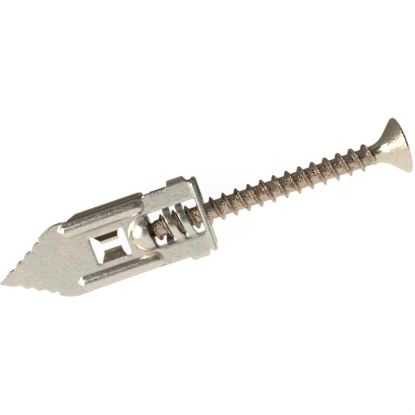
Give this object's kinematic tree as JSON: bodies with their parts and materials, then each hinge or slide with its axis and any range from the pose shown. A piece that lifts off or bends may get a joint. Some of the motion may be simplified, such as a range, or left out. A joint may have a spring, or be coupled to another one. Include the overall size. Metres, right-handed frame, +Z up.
{
  "type": "hammer-in drywall anchor",
  "caption": "Folded sheet-steel drywall anchor with a saw-toothed spear point, ribs, windows and a flanged mouth, holding a coarse countersunk screw that turns in it.",
  "frame": {"origin": "under the middle of the whole anchor, on the surface that it lies on; the screw's axis is half a head diameter above it", "axes": "+X along the screw from the spear point towards the head, +Z up, square to the flat legs"},
  "size_m": [0.064, 0.0128, 0.0085],
  "materials": {
    "sheet": "zinc plated and passivated pale yellow, fine satin grain",
    "screw": "zinc plated and passivated yellow, smooth and bright"
  },
  "bodies": {
    "anchor": {"anchor_body": "sheet"},
    "screw": {"screw": "screw"}
  },
  "joints": [
    {"name": "screw_turn", "type": "hinge", "parent": "anchor", "child": "screw", "pos_m": [0.00145, 0, 0.00425], "axis": [-1, 0, 0], "continuous": true}
  ]
}
